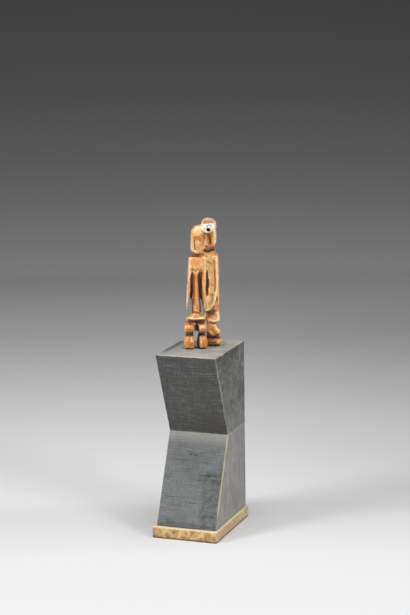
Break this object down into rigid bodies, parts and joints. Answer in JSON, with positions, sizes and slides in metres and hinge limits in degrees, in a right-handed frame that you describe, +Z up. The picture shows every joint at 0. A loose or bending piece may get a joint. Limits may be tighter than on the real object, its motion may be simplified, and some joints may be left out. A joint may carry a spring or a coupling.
{
  "type": "carved couple figure on a stand",
  "caption": "Small carved pair of standing figures, joined at heads and arms, on a dark faceted two-block stand with a thin gilded plinth.",
  "frame": {"origin": "centre of the plinth's underside", "axes": "+Z up, the stand's notched front faces -Y"},
  "size_m": [0.0452, 0.0648, 0.2073],
  "materials": {
    "honey_ivory": "carved ivory, honey patina, brown in the cuts, pale and chipped at the top of one head",
    "dark_painted_wood": "matt near-black stain with fine rubbed lines and worn edges",
    "grey_painted_wood": "matt grey-black stain with fine rubbed lines and worn edges",
    "worn_gilding": "worn leaf gilding, mottled on the front"
  },
  "bodies": {
    "root": {"carved_couple": "honey_ivory", "stand_upper_block": "dark_painted_wood", "stand_lower_block": "grey_painted_wood", "gilded_plinth": "worn_gilding"}
  },
  "joints": []
}
